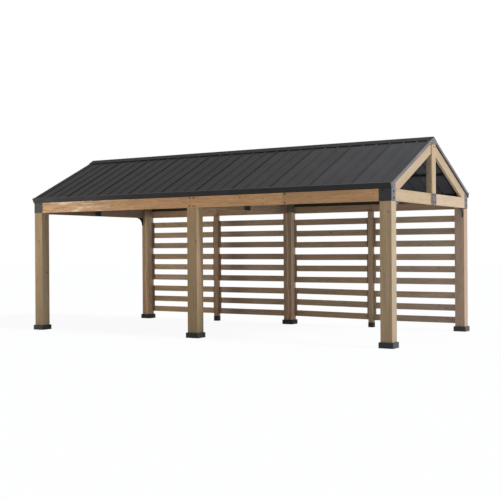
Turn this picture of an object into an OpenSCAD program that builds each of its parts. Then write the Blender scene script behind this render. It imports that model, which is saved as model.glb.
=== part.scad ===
// Open timber carport with a gable roof.
// Six posts carry a ring of edge beams and three king-post trusses, under ribbed steel
// roofing with folded steel edges. Slatted screens close the rear side.
// X runs along the ridge, -Y is the open front, Z is up. The origin is on the ground at
// the centre of the plan. Pieces are drawn at +X, +Y and mirrored to their own corner.

/* [Overall size] */
// Length over the outer faces of the corner posts, along the ridge
length = 6200; // [4600:50:8000]
// Depth over the outer faces of the front and rear posts
depth = 2934; // [2300:2:3800]
// Height from the ground to the underside of the beams
headroom = 1880; // [1400:10:2600]
// Slope of the roof, in degrees
roof_pitch = 25.86; // [18:0.02:35]

/* [Posts] */
// Width of the six main posts, which are square
post_w = 152; // [110:2:200]
// Height of the sleeve around the foot of a main post
base_h = 76; // [40:2:150]
// Wall of that sleeve
base_wall = 20; // [12:1:40]
// Chamfer around the sleeve's top edge
base_chamfer = 8; // [1:1:10]
// Width of the slender posts that carry the screens, which are square
screen_post_w = 80; // [50:2:100]
// Height of the shoe around the foot of a slender post
shoe_h = 82; // [40:1:150]
// Wall of that shoe
shoe_wall = 3; // [2:1:6]

/* [Beams and trusses] */
// Thickness of the boards of the beams, ties and rafters
board_t = 38; // [25:1:60]
// Height of the edge beams and ties
beam_h = 158; // [110:2:240]
// Width of the king posts, across the ridge
king_w = 150; // [90:2:200]
// Thickness of the king posts, along the ridge
king_t = 90; // [60:2:120]
// Depth of the rafters, square to the slope
rafter_h = 140; // [90:2:200]
// Height of the rafters' top edge over the beams, at the beams' outer face
heel_h = 20.5; // [15:0.5:60]

/* [Roof] */
// Length of the sheets past the beams' outer face, along the slope
eave_overhang = 26; // [10:1:60]
// Thickness of the purlins, square to the slope
purlin_t = 38; // [25:1:60]
// Width of the purlins, along the slope
purlin_w = 50; // [38:1:100]
// Distance from the middle purlin's centre line to the eave, along the slope
purlin_to_eave = 658; // [400:1:900]
// Thickness of the roof sheets
sheet_t = 3; // [2:1:5]
// Height of the ribs of the sheets
rib_h = 16; // [8:1:40]
// Spacing of the ribs
rib_pitch = 206; // [120:1:300]
// Distance of the first rib's middle from the left end of the sheets
first_rib = 51; // [35:1:150]
// Width of a rib at its foot
rib_foot = 36; // [30:1:60]
// Width of a rib at its crest
rib_crest = 20; // [12:1:28]
// Thickness of the folded steel of the ridge cap and the eave trims
fold_t = 3; // [2:1:5]
// Width of each wing of the ridge cap, along the slope
cap_w = 120; // [80:1:200]
// Width of the flange that folds from the eave trim over the ribs
eave_flange = 30; // [15:1:60]
// Thickness of the trims up the gable edges
rake_t = 20; // [12:1:40]

/* [Steel fittings] */
// Thickness of the bolted plates
plate_t = 3; // [2:1:8]
// Width of a corner bracket's plate on the edge beam
corner_front_w = 174; // [100:2:300]
// Width of a corner bracket's plate on the gable side
corner_side_w = 127; // [80:1:200]
// Distance of a middle post's bracket from the tie's top and bottom edges
middle_inset = 10; // [2:1:20]
// Length of the apex plates below the peak of the king post
apex_drop = 47; // [30:1:100]
// Leg of the corner gussets along the tie
gusset_y = 150; // [90:2:220]
// Leg of the corner gussets down the post
gusset_z = 140; // [90:2:220]
// Width of the gussets, along the ridge
gusset_t = 14; // [6:1:40]
// Distance of the gussets behind the posts' gable face
gusset_inset = 12; // [4:1:30]
// Least thickness of a gusset at the end of its curve
gusset_edge = 10; // [5:1:20]

/* [Rear screens] */
// Height of a slat
slat_h = 98; // [60:1:120]
// Thickness of a slat
slat_t = 15; // [10:1:25]
// Gap between the slats of one panel
slat_gap = 92; // [60:1:160]
// Gap between the top slat and the beam
top_gap = 103; // [40:1:160]
// Gap between one panel and the next below it
panel_gap = 112; // [80:1:200]
// Least gap between the lowest slat and the ground
ground_gap = 100; // [50:1:300]
// Width of the battens that join the slats at their ends
batten_w = 40; // [25:1:60]
// Thickness of those battens
batten_t = 25; // [15:1:40]

/* [Clearances] */
// Gap between an eave trim and the top of the beam
trim_gap = 1; // [0.5:0.5:5]
// Gap between the two halves of a gable trim at the peak
peak_gap = 2; // [1:0.5:6]
// Gap between the sheets of the two slopes at the ridge, along each slope
ridge_gap = 10; // [5:1:30]
// Gap around each rib in the lip of the ridge cap
notch_gap = 1; // [0.5:0.5:5]
// Gap between a middle post's bracket and the edge beam
bracket_gap = 4; // [1:1:10]

/* [Hidden] */

// Colours
timber = "#A8845C";
dark_timber = "#7A6652";
roof_steel = "#444444";
bracket_steel = "#606268";
base_steel = "#303234";

// Outer planes and levels of the frame
half_l = length / 2;
half_d = depth / 2;
beam_top = headroom + beam_h;
gable_x = half_l + rake_t;
pitch_cos = cos(roof_pitch);
pitch_sin = sin(roof_pitch);
pitch_tan = tan(roof_pitch);

// Height of the rafters' top edge at a distance y from the ridge line
function rafter_top(y) = beam_top + heel_h + (half_d - y) * pitch_tan;

// The slope frame: s runs down from the ridge line, n stands up from the sheets' underside
sheet_z = rafter_top(0) + purlin_t / pitch_cos;
function slope_y(s, n) = s * pitch_cos + n * pitch_sin;
function slope_z(s, n) = sheet_z - s * pitch_sin + n * pitch_cos;
function slope_point(s, n) = [slope_y(s, n), slope_z(s, n)];
eave_s = half_d / pitch_cos + eave_overhang;
roof_end_s = eave_s - fold_t;
crest_n = sheet_t + rib_h;
cap_n = crest_n + fold_t;
eave_bottom_n = (beam_top + trim_gap - sheet_z + eave_s * pitch_sin) / pitch_cos;

// Foot of the rafters, where their end and their lower edge meet the beams' top
rafter_end = slope_point(roof_end_s, -purlin_t);
foot_out_y = rafter_end[0] - (rafter_end[1] - beam_top) * pitch_tan;
foot_in_y = half_d + (heel_h - rafter_h / pitch_cos) / pitch_tan;

// The sheets are laid from the left end, and the last one is cut to length
rib_xs = [for (x = [first_rib - half_l : rib_pitch : half_l - rib_foot]) x];

// The slender posts stand halfway between the faces of the main posts
post_x = half_l - post_w / 2;
post_y = half_d - post_w / 2;
screen_post_x = post_x / 2;

// The screens hang down from the beam in panels of three slats
panel_slats = 3;
slat_step = slat_h + slat_gap;
panel_h = panel_slats * slat_step - slat_gap;
panel_step = panel_h + panel_gap;
panel_count = floor((headroom - top_gap - ground_gap + panel_gap) / panel_step);

// Segments of a full circle on the curved edges
curve_fn = 96;

// Box between two corners
module box(low, high) {
    translate(low) cube(high - low);
}

// Mirrors what is drawn at +X, +Y to the corner with the given signs
module corner(x_side, y_side) {
    mirror([x_side < 0 ? 1 : 0, 0, 0])
        mirror([0, y_side < 0 ? 1 : 0, 0])
            children();
}

// Puts what is drawn in the slope frame on one slope
module on_slope(y_side) {
    corner(1, y_side) translate([0, 0, sheet_z]) rotate([-roof_pitch, 0, 0]) children();
}

// Extrudes an outline in Y and Z along X
module along_x(x_from, x_to) {
    translate([x_from, 0, 0]) rotate([90, 0, 90]) linear_extrude(x_to - x_from) children();
}

// Block on the ground with a chamfer around its top edge
module chamfered_block(width, height, chamfer) {
    half = width / 2;
    outline = [
        [-half, 0], [half, 0], [half, height - chamfer], [half - chamfer, height],
        [chamfer - half, height], [-half, height - chamfer]
    ];
    intersection() {
        rotate([90, 0, 0]) linear_extrude(width, center = true) polygon(outline);
        rotate([90, 0, 90]) linear_extrude(width, center = true) polygon(outline);
    }
}

// Post with its outer face halved back above the beam's underside
module post(x_from, x_to, tenon_x_to) {
    y_from = half_d - post_w;
    box([x_from, y_from, 0], [x_to, half_d, headroom]);
    box([x_from, y_from, headroom], [tenon_x_to, half_d - board_t, beam_top]);
}

module corner_post(x_side, y_side) {
    color(timber) corner(x_side, y_side) post(half_l - post_w, half_l, half_l - board_t);
}

module middle_post(y_side) {
    color(timber) corner(1, y_side) post(-post_w / 2, post_w / 2, post_w / 2);
}

module post_bases() {
    color(base_steel)
    for (x = [-post_x, 0, post_x], y = [-post_y, post_y])
        translate([x, y, 0])
        difference() {
            chamfered_block(post_w + 2 * base_wall, base_h, base_chamfer);
            box([-post_w / 2, -post_w / 2, -1], [post_w / 2, post_w / 2, base_h + 1]);
        }
}

module screen_post(x_side) {
    color(dark_timber) corner(x_side, 1)
    box([screen_post_x - screen_post_w / 2, half_d - screen_post_w, 0],
        [screen_post_x + screen_post_w / 2, half_d, headroom]);
}

module screen_post_shoes() {
    half = screen_post_w / 2;
    color(base_steel)
    for (x = [-screen_post_x, screen_post_x])
        translate([x, half_d - half, 0])
        difference() {
            box([-half - shoe_wall, -half - shoe_wall, 0],
                [half + shoe_wall, half + shoe_wall, shoe_h]);
            box([-half, -half, -1], [half, half, shoe_h + 1]);
        }
}

module edge_beam(y_side) {
    color(timber) corner(1, y_side)
    box([-half_l, half_d - board_t, headroom], [half_l, half_d, beam_top]);
}

// Tie of one truss: two boards, each from the king post to its outer end
module tie_beam(x_from, y_end) {
    color(timber)
    for (y_side = [-1, 1])
        corner(1, y_side)
        box([x_from, king_w / 2, headroom], [x_from + board_t, y_end, beam_top]);
}

module king_post(x_from) {
    half = king_w / 2;
    color(dark_timber) along_x(x_from, x_from + king_t)
    polygon([
        [-half, headroom], [half, headroom], [half, rafter_top(half)],
        [0, rafter_top(0)], [-half, rafter_top(half)]
    ]);
}

module rafters(x_from) {
    half = king_w / 2;
    color(timber)
    for (y_side = [-1, 1])
        corner(1, y_side) along_x(x_from, x_from + board_t)
        polygon([
            [half, rafter_top(half)], rafter_end, [foot_out_y, beam_top],
            [foot_in_y, beam_top], [half, rafter_top(half) - rafter_h / pitch_cos]
        ]);
}

module purlins(y_side) {
    upper_s = [
        king_w / 2 / pitch_cos,
        eave_s - purlin_to_eave - purlin_w / 2,
        roof_end_s - purlin_w
    ];
    color(dark_timber)
    on_slope(y_side)
    for (s = upper_s)
        box([-half_l, s, -purlin_t], [half_l, s + purlin_w, 0]);
}

// Outline of one rib between two levels, wide at the foot and narrow at the crest
function rib_points(x, foot, crest, low_n, high_n) = [
    [x - foot / 2, low_n], [x - crest / 2, high_n],
    [x + crest / 2, high_n], [x + foot / 2, low_n]
];

// Sheets of one slope: the under edge runs back from the last rib, so its widths are negative
module roof_sheets(y_side) {
    top_edge = [for (x = rib_xs) each rib_points(x, rib_foot, rib_crest, sheet_t, crest_n)];
    under_edge = [
        for (i = [len(rib_xs) - 1 : -1 : 0])
        each rib_points(rib_xs[i], 2 * sheet_t - rib_foot, 2 * sheet_t - rib_crest, 0, rib_h)
    ];
    color(roof_steel)
    on_slope(y_side)
    translate([0, roof_end_s, 0]) rotate([90, 0, 0])
    linear_extrude(roof_end_s - ridge_gap)
    polygon(concat(
        [[-half_l, sheet_t]], top_edge, [[half_l, sheet_t], [half_l, 0]],
        under_edge, [[-half_l, 0]]
    ));
}

// Folded cap on the crests of the ribs, with a lip notched around each rib
module ridge_cap() {
    color(roof_steel) {
        along_x(-gable_x, gable_x)
        polygon([
            slope_point(cap_w, crest_n), slope_point(cap_w, cap_n), [0, sheet_z + cap_n / pitch_cos],
            [-slope_y(cap_w, cap_n), slope_z(cap_w, cap_n)],
            [-slope_y(cap_w, crest_n), slope_z(cap_w, crest_n)], [0, sheet_z + crest_n / pitch_cos]
        ]);
        for (y_side = [-1, 1])
            on_slope(y_side)
            difference() {
                box([-half_l, cap_w - fold_t, sheet_t], [half_l, cap_w, cap_n]);
                translate([0, cap_w + 1, 0]) rotate([90, 0, 0]) linear_extrude(fold_t + 2)
                for (x = rib_xs)
                    polygon(rib_points(x, rib_foot + 2 * notch_gap, rib_crest + 2 * notch_gap,
                                       sheet_t - notch_gap, crest_n));
            }
    }
}

// Folded eave trim, whose lower edge runs on under the ends of the gable trims
module eave_trim(y_side) {
    color(roof_steel) on_slope(y_side) {
        along_x(-half_l, half_l)
        polygon([
            [eave_s - eave_flange, crest_n], [eave_s - eave_flange, cap_n], [eave_s, cap_n],
            [eave_s, eave_bottom_n], [roof_end_s, eave_bottom_n], [roof_end_s, crest_n]
        ]);
        box([-gable_x, roof_end_s, eave_bottom_n], [gable_x, eave_s, -purlin_t]);
    }
}

// Gable trim: two bars that cover the ends of the purlins and sheets
module rake_trim(x_side) {
    start_s = peak_gap / 2 / pitch_cos;
    color(roof_steel)
    for (y_side = [-1, 1])
        corner(x_side, 1) on_slope(y_side) along_x(half_l, gable_x)
        polygon([
            [start_s + purlin_t * pitch_tan, -purlin_t], [eave_s, -purlin_t],
            [eave_s, crest_n], [start_s - crest_n * pitch_tan, crest_n]
        ]);
}

// Corner bracket: one plate on the edge beam, one on the tie and the rafter's foot
module corner_bracket(x_side, y_side) {
    y_in = half_d - corner_side_w;
    y_out = half_d + plate_t;
    color(bracket_steel) corner(x_side, y_side) {
        along_x(half_l, half_l + plate_t)
        polygon([
            [y_in, headroom], [y_out, headroom], [y_out, beam_top], [foot_out_y, beam_top],
            [foot_out_y, rafter_top(foot_out_y)], [y_in, rafter_top(y_in)]
        ]);
        box([half_l - corner_front_w, half_d, headroom], [half_l + plate_t, y_out, beam_top]);
    }
}

// Angle plates that hold the middle tie between them on the head of each middle post
module middle_post_brackets() {
    half = post_w / 2;
    y_face = half_d - post_w;
    low_z = headroom + middle_inset;
    high_z = beam_top - middle_inset;
    y_end = half_d - board_t - bracket_gap;
    color(bracket_steel)
    for (x_side = [-1, 1], y_side = [-1, 1])
        corner(x_side, y_side) {
            box([board_t / 2, y_face - plate_t, low_z], [half + plate_t, y_face, high_z]);
            box([half, y_face - plate_t, low_z], [half + plate_t, y_end, high_z]);
        }
}

// Plates on both faces of the foot of each king post
module king_post_plates() {
    plate_xs = [
        gable_x, gable_x - king_t - plate_t, king_t / 2,
        -king_t / 2 - plate_t, king_t - gable_x, -gable_x - plate_t
    ];
    color(bracket_steel)
    for (x = plate_xs)
        box([x, -king_w / 2, headroom], [x + plate_t, king_w / 2, beam_top]);
}

// Plates over the joints of the gable trims, as wide as the king posts
module apex_plates() {
    half = king_w / 2;
    low_z = rafter_top(0) - apex_drop;
    peak_z = sheet_z + crest_n / pitch_cos;
    side_z = peak_z - half * pitch_tan;
    color(bracket_steel)
    for (x_side = [-1, 1])
        corner(x_side, 1) along_x(gable_x, gable_x + plate_t)
        polygon([[-half, low_z], [half, low_z], [half, side_z], [0, peak_z], [-half, side_z]]);
}

// Brackets with a hollow curve in the corners between the corner posts and the end ties
module corner_gussets() {
    outer_x = half_l - gusset_inset;
    y_low = half_d - post_w - gusset_y;
    z_low = headroom - gusset_z;
    radius = min(gusset_y, gusset_z) - gusset_edge;
    color(bracket_steel)
    for (x_side = [-1, 1], y_side = [-1, 1])
        corner(x_side, y_side) along_x(outer_x - gusset_t, outer_x)
        translate([y_low, z_low])
        difference() {
            square([gusset_y, gusset_z]);
            circle(radius, $fn = curve_fn);
        }
}

// One width of screen: panels of slats, each panel held by a batten at both ends
module screen(x_side, x_from, x_to) {
    batten_y = half_d - slat_t - batten_t;
    color(dark_timber) corner(x_side, 1)
    for (panel = [0 : panel_count - 1]) {
        top_z = headroom - top_gap - panel * panel_step;
        for (slat = [0 : panel_slats - 1])
            box([x_from, half_d - slat_t, top_z - slat * slat_step - slat_h],
                [x_to, half_d, top_z - slat * slat_step]);
        for (x = [x_from, x_to - batten_w])
            box([x, batten_y, top_z - panel_h], [x + batten_w, half_d - slat_t, top_z]);
    }
}

module screen_far(x_side) {
    screen(x_side, screen_post_x + screen_post_w / 2, half_l - post_w);
}

module screen_near(x_side) {
    screen(x_side, post_w / 2, screen_post_x - screen_post_w / 2);
}

corner_post(-1, -1);  // front_left_post
middle_post(-1);  // front_middle_post
corner_post(1, -1);  // front_right_post
corner_post(-1, 1);  // rear_left_post
middle_post(1);  // rear_middle_post
corner_post(1, 1);  // rear_right_post
post_bases();
screen_post(-1);  // screen_post_left
screen_post(1);  // screen_post_right
screen_post_shoes();
edge_beam(-1);  // front_beam
edge_beam(1);  // rear_beam
tie_beam(-half_l, half_d - board_t);  // tie_beam_left
tie_beam(-board_t / 2, half_d - post_w);  // tie_beam_middle
tie_beam(half_l - board_t, half_d - board_t);  // tie_beam_right
king_post(-gable_x);  // king_post_left
king_post(-king_t / 2);  // king_post_middle
king_post(gable_x - king_t);  // king_post_right
rafters(-half_l);  // rafters_left
rafters(-board_t / 2);  // rafters_middle
rafters(half_l - board_t);  // rafters_right
purlins(-1);  // purlins_front
purlins(1);  // purlins_rear
roof_sheets(-1);  // roof_sheets_front
roof_sheets(1);  // roof_sheets_rear
ridge_cap();
eave_trim(-1);  // eave_trim_front
eave_trim(1);  // eave_trim_rear
rake_trim(-1);  // rake_trim_left
rake_trim(1);  // rake_trim_right
corner_bracket(-1, -1);  // corner_bracket_front_left
corner_bracket(1, -1);  // corner_bracket_front_right
corner_bracket(-1, 1);  // corner_bracket_rear_left
corner_bracket(1, 1);  // corner_bracket_rear_right
middle_post_brackets();
king_post_plates();
apex_plates();
corner_gussets();
screen_far(-1);  // screen_far_left
screen_near(-1);  // screen_near_left
screen_near(1);  // screen_near_right
screen_far(1);  // screen_far_right
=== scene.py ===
"""Looks of a timber carport: weathered boards and posts, a ribbed steel roof, steel fittings."""

import math
import random

import bmesh
import bpy
import numpy as np
from mathutils import Matrix, Vector


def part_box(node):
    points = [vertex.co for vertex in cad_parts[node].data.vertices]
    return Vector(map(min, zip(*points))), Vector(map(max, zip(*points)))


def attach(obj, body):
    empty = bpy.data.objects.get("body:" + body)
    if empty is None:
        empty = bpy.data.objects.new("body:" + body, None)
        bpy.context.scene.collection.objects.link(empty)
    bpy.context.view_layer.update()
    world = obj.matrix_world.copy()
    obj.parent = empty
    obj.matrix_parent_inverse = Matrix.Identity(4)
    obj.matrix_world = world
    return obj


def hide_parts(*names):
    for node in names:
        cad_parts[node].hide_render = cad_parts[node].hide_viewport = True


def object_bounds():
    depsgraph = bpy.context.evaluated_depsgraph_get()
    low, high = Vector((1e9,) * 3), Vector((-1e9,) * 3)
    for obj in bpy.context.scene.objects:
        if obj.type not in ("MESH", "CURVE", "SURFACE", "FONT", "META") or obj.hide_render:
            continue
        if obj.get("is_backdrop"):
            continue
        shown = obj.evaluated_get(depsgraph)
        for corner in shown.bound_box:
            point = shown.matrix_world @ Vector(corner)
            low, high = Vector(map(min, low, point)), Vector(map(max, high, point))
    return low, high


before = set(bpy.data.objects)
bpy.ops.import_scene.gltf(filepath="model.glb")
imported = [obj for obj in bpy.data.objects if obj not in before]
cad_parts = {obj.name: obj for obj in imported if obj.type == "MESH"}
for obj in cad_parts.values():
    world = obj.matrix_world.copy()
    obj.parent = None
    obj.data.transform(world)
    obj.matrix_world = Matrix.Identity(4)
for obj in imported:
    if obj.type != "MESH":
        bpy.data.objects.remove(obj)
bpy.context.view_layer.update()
random.seed(31)

X, Y, Z = Vector((1, 0, 0)), Vector((0, 1, 0)), Vector((0, 0, 1))

# The roof, in metres, as the frame has it: heights are square to a slope, from the purlins' tops
PITCH = math.radians(25.86)
SIN, COS, TAN = math.sin(PITCH), math.cos(PITCH), math.tan(PITCH)
PAN_T, CREST, CAP_TOP = 0.003, 0.019, 0.022
RIB_PITCH, RIB_FOOT, RIB_CREST, FIRST_RIB = 0.206, 0.036, 0.020, -3.049
LAP, LAP_LIP = 0.0012, 0.009
RAFTER_TOP = -0.038
RAKE_LOW, RAKE_TOP, RAKE_ROLL = -0.028, 0.019, 0.006
HOUSED = RAKE_LOW - RAFTER_TOP

# How edges are finished, and the gap left where two boards or flashings butt
SHARP_TURN = math.radians(25)
BOARD_EASE, POST_EASE, SLAT_EASE, PLATE_EASE = 0.0025, 0.004, 0.002, 0.0008
CAP_EASE, SADDLE_EASE, BOOT_BORE_EASE, BOOT_RIM_EASE = 0.0006, 0.0004, 0.0008, 0.001
SEAM = 0.0016
# How far out from a board the heart of its log lay, for wide boards, rafters and slim boards
WIDE_REACH, RAFTER_REACH, SLIM_REACH = (0.05, 0.11), (0.05, 0.10), (0.02, 0.05)


# ------------ mesh building


class Grain:
    """How a board lay in its log: the way the trunk ran, and where its heart was."""

    def __init__(self, along, heart):
        self.along = along.normalized()
        self.across = self.along.cross(Z if abs(self.along.z) < 0.7 else X).normalized()
        self.other = self.along.cross(self.across)
        self.heart = heart
        self.shift = random.uniform(0, 40)

    def at(self, point):
        out = point - self.heart
        return out.dot(self.along) + self.shift, out.dot(self.across), out.dot(self.other)


class Piece:
    """One named mesh, made up of solids that each carry their own grain and tone."""

    def __init__(self, name):
        self.name = name
        self.points, self.faces, self.rounded = [], [], []
        self.grain, self.tone = [], []

    def add(self, points, faces, ease=0.0, steps=2, grain=tuple, tone=1.0, warmth=0.0,
            face_tone=None, drift=None, smooth=False):
        """A closed solid with its edges eased; tone and warmth set it apart from its neighbours.

        face_tone gives a face's own share of the tone and its own warmth, and drift a share
        that changes along the solid."""
        solid = bmesh.new()
        corners = [solid.verts.new(p) for p in points]
        for face in faces:
            solid.faces.new([corners[i] for i in face])
        bmesh.ops.recalc_face_normals(solid, faces=solid.faces[:])
        soft = set()
        if ease:
            sharp = [e for e in solid.edges if e.calc_face_angle(0) > SHARP_TURN]
            eased = bmesh.ops.bevel(solid, geom=sharp, offset=ease, segments=steps,
                                    profile=0.5, affect="EDGES", clamp_overlap=True)
            soft = set(eased["faces"])
        solid.normal_update()
        solid.verts.index_update()
        first = len(self.points)
        self.points.extend(tuple(v.co) for v in solid.verts)
        for face in solid.faces:
            self.faces.append([first + v.index for v in face.verts])
            self.rounded.append(face in soft or smooth)
            share, shift = (1.0, 0.0)
            if face_tone:
                share, shift = face_tone(face.normal, face.calc_center_median())
            wear = 1.0 if face in soft else 0.0
            for v in face.verts:
                self.grain.append(grain(v.co))
                here = drift(v.co) if drift else 1.0
                self.tone.append((tone * share * here, warmth + shift, wear))
        solid.free()

    def place(self, material, slot, *nodes):
        """Puts the piece in the scene in place of its nodes of the frame."""
        mesh = bpy.data.meshes.new(self.name)
        mesh.from_pydata(self.points, [], self.faces)
        for name, values in (("grain", self.grain), ("tone", self.tone)):
            layer = mesh.attributes.new(name, "FLOAT_VECTOR", "CORNER")
            layer.data.foreach_set("vector", np.array(values, np.float32).ravel())
        mesh.polygons.foreach_set("use_smooth", self.rounded)
        mesh.materials.append(material)
        mesh.update()
        piece = bpy.data.objects.new(self.name, mesh)
        bpy.context.scene.collection.objects.link(piece)
        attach(piece, "root")
        if nodes:
            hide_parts(*nodes)


def rings(levels, closed=False):
    """Skins a stack of point rings, capped at both ends, or closed back on the first ring."""
    around, count = len(levels[0]), len(levels)
    last = (count - 1) * around
    points = [p for ring in levels for p in ring]
    faces = [] if closed else [tuple(range(around)), tuple(range(last + around - 1, last - 1, -1))]
    for k in range(count if closed else count - 1):
        a, b = k * around, (k + 1) % count * around
        faces += [(a + i, a + (i + 1) % around, b + (i + 1) % around, b + i) for i in range(around)]
    return points, faces


def oblong(a0, b0, a1, b1):
    """The four corners of an oblong outline."""
    return [(a0, b0), (a1, b0), (a1, b1), (a0, b1)]


def drawn_out(outline, axis, *levels):
    """A flat outline, given in the two other axes, drawn out along an axis through levels."""
    def spot(level, a, b):
        return Vector({0: (level, a, b), 1: (a, level, b), 2: (a, b, level)}[axis])

    return rings([[spot(level, a, b) for a, b in outline] for level in levels])


def mirrored(points, side_x, side_y):
    """The same points at the left (-1) or right (1), and at the front (-1) or rear (1)."""
    return [Vector((side_x * p.x, side_y * p.y, p.z)) for p in points]


def butted(*stops):
    """The stretches between stops, with a seam left open wherever two of them meet."""
    last = len(stops) - 2
    return [(a + (SEAM / 2 if i else 0.0), b - (SEAM / 2 if i < last else 0.0))
            for i, (a, b) in enumerate(zip(stops, stops[1:]))]


def fade(axis, places, shares):
    """A share of the tone that goes evenly from place to place along an axis."""
    def share(point):
        return np.interp(point[axis], places, shares)
    return share


def round_block(low, high, grow, radius, z):
    """Points round a block grown by a wall, its corners rounded, at one height."""
    ring = []
    centre, half = (low + high) / 2, (high - low) / 2
    inner_x, inner_y = half.x + grow - radius, half.y + grow - radius
    for quarter, (sx, sy) in enumerate(((1, 1), (-1, 1), (-1, -1), (1, -1))):
        for turn in [math.radians(90 * quarter + 30 * step) for step in range(4)]:
            ring.append(Vector((centre.x + sx * inner_x + radius * math.cos(turn),
                                centre.y + sy * inner_y + radius * math.sin(turn), z)))
    return ring


def turned(centre, facing, count, *levels):
    """A solid turned round an axis from its radius and height at each level."""
    side = facing.orthogonal().normalized()
    other = facing.cross(side)
    turns = [2 * math.pi * i / count for i in range(count)]
    return rings([[centre + facing * height + (side * math.cos(t) + other * math.sin(t)) * radius
                   for t in turns] for radius, height in levels])


def bolt(piece, centre, facing, washer=0.011, head=0.0075, tone=1.0):
    """A hex head on its washer, seated on a surface that faces the given way."""
    piece.add(*turned(centre, facing, 16, (washer, -0.0004), (washer, 0.00108),
                      (washer * 0.9, 0.0018)), tone=tone)
    piece.add(*turned(centre, facing, 6, (head, 0.0009), (head, 0.0048), (head * 0.86, 0.006)),
              tone=tone)


def screw(piece, centre, facing, radius=0.0045):
    """A low domed screw head."""
    dome = ((1.0, -0.0003), (0.96, 0.0006), (0.7, 0.0013), (0.3, 0.0016))
    piece.add(*turned(centre, facing, 10, *[(radius * share, height) for share, height in dome]),
              smooth=True)


def stray():
    """How far a heart strays to one side, as no log is sawn dead centre."""
    return random.uniform(-0.03, 0.03)


def heart_beside(centre, face, reach):
    """A heart a hand or so out from a board's wide face, as in a board sawn off a log's side."""
    side = face.cross(X if abs(face.x) < 0.7 else Y)
    return centre + face * random.choice((-1, 1)) * random.uniform(*reach) + side * stray()


def board(piece, low, high, axis, ease=BOARD_EASE, reach=WIDE_REACH, stops=(), lift=(0.0, 0.0),
          **tones):
    """A straight board between two corners, its grain along one axis.

    Its tone may drift between the stops, and its two ends may be lifted by differing amounts."""
    low, high = Vector(low), Vector(high)
    size = high - low
    a, b = [other for other in (0, 1, 2) if other != axis]
    outline = oblong(low[a], low[b], high[a], high[b])
    points, faces = drawn_out(outline, axis, low[axis], *stops, high[axis])
    for p in points:
        p.z += lift[0] + (lift[1] - lift[0]) * (p[axis] - low[axis]) / size[axis]
    face = (X, Y, Z)[min((a, b), key=lambda thin: size[thin])]
    grain = Grain((X, Y, Z)[axis], heart_beside((low + high) / 2, face, reach))
    piece.add(points, faces, ease=ease, grain=grain.at, **tones)


# ------------ finishes


class Wire:
    """One output of a finish's nodes, to be used in plain arithmetic."""

    def __init__(self, finish, socket):
        self.finish, self.socket = finish, socket

    def __add__(self, other):
        return self.finish.maths("ADD", self, other)

    def __sub__(self, other):
        return self.finish.maths("SUBTRACT", self, other)

    def __rsub__(self, other):
        return self.finish.maths("SUBTRACT", other, self)

    def __mul__(self, other):
        return self.finish.maths("MULTIPLY", self, other)

    def __truediv__(self, other):
        return self.finish.maths("DIVIDE", self, other)

    __radd__, __rmul__ = __add__, __mul__


def socket_in(sockets, key):
    """One of a node's sockets, by its number or its name."""
    if isinstance(key, int):
        return sockets[key]
    return next(s for s in sockets if key in (s.identifier, s.name))


class Finish:
    """A material, or the studio's sky, while it is being put together from nodes."""

    def __init__(self, owner):
        owner.use_nodes = True
        self.owner, self.tree = owner, owner.node_tree
        self.tree.nodes.clear()

    def make(self, kind, settings=None, inputs=None, output=0):
        """Any node: its settings first, then the values or wires of its sockets."""
        node = self.tree.nodes.new(kind)
        for name, value in (settings or {}).items():
            setattr(node, name, value)
        for key, value in (inputs or {}).items():
            socket = socket_in(node.inputs, key)
            if isinstance(value, Wire):
                self.tree.links.new(value.socket, socket)
            else:
                socket.default_value = value
        return Wire(self, socket_in(node.outputs, output)) if node.outputs else None

    def maths(self, operation, *values):
        return self.make("ShaderNodeMath", {"operation": operation}, dict(enumerate(values)))

    def layer(self, name):
        """The three numbers of one of the mesh's own layers."""
        vector = self.make("ShaderNodeAttribute", {"attribute_name": name}, output="Vector")
        return [self.make("ShaderNodeSeparateXYZ", None, {0: vector}, axis) for axis in "XYZ"]

    def vector(self, x, y, z):
        return self.make("ShaderNodeCombineXYZ", None, {0: x, 1: y, 2: z})

    def noise(self, x, y, z, scale=1.0, detail=2.0, rough=0.5):
        return self.make("ShaderNodeTexNoise", None, {"Vector": self.vector(x, y, z),
                         "Scale": scale, "Detail": detail, "Roughness": rough})

    def step(self, value, start, end, low=0.0, high=1.0):
        """A smooth rise from one level to another as a value goes from start to end."""
        return self.make("ShaderNodeMapRange", {"interpolation_type": "SMOOTHSTEP"},
                         {"Value": value, "From Min": start, "From Max": end,
                          "To Min": low, "To Max": high})

    def stained(self, colour, share, code):
        """A colour with a share of another, written as six hex digits, laid over it."""
        return self.make("ShaderNodeMix", {"data_type": "RGBA"}, {
            "Factor_Float": share, "A_Color": colour, "B_Color": shade(code)}, "Result_Color")

    def toned(self, colour, level, warmth):
        """Brighter by level, and redder and less blue by warmth; below nought it cools."""
        lit = self.make("ShaderNodeVectorMath", {"operation": "SCALE"},
                        {"Vector": colour, "Scale": level}, "Vector")
        tint = self.vector(1.0 + warmth * 0.04, 1.0, 1.0 - warmth * 0.1)
        return self.make("ShaderNodeVectorMath", {"operation": "MULTIPLY"}, {0: lit, 1: tint},
                         "Vector")

    def surface(self, colour, rough, height, bump, distance, fixed):
        """Ends the finish: one Principled surface with its bump."""
        normal = self.make("ShaderNodeBump", None,
                           {"Strength": bump, "Distance": distance, "Height": height}, "Normal")
        shader = self.make("ShaderNodeBsdfPrincipled", None, {
            "Base Color": colour, "Roughness": rough, "Normal": normal, **fixed})
        self.make("ShaderNodeOutputMaterial", None, {"Surface": shader})
        return self.owner


def shade(code):
    """A colour written as six hex digits, as the linear values that nodes take."""
    values = [int(code[i:i + 2], 16) / 255 for i in (1, 3, 5)]
    return (*[v / 12.92 if v <= 0.04045 else ((v + 0.055) / 1.055) ** 2.4 for v in values], 1.0)


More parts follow.
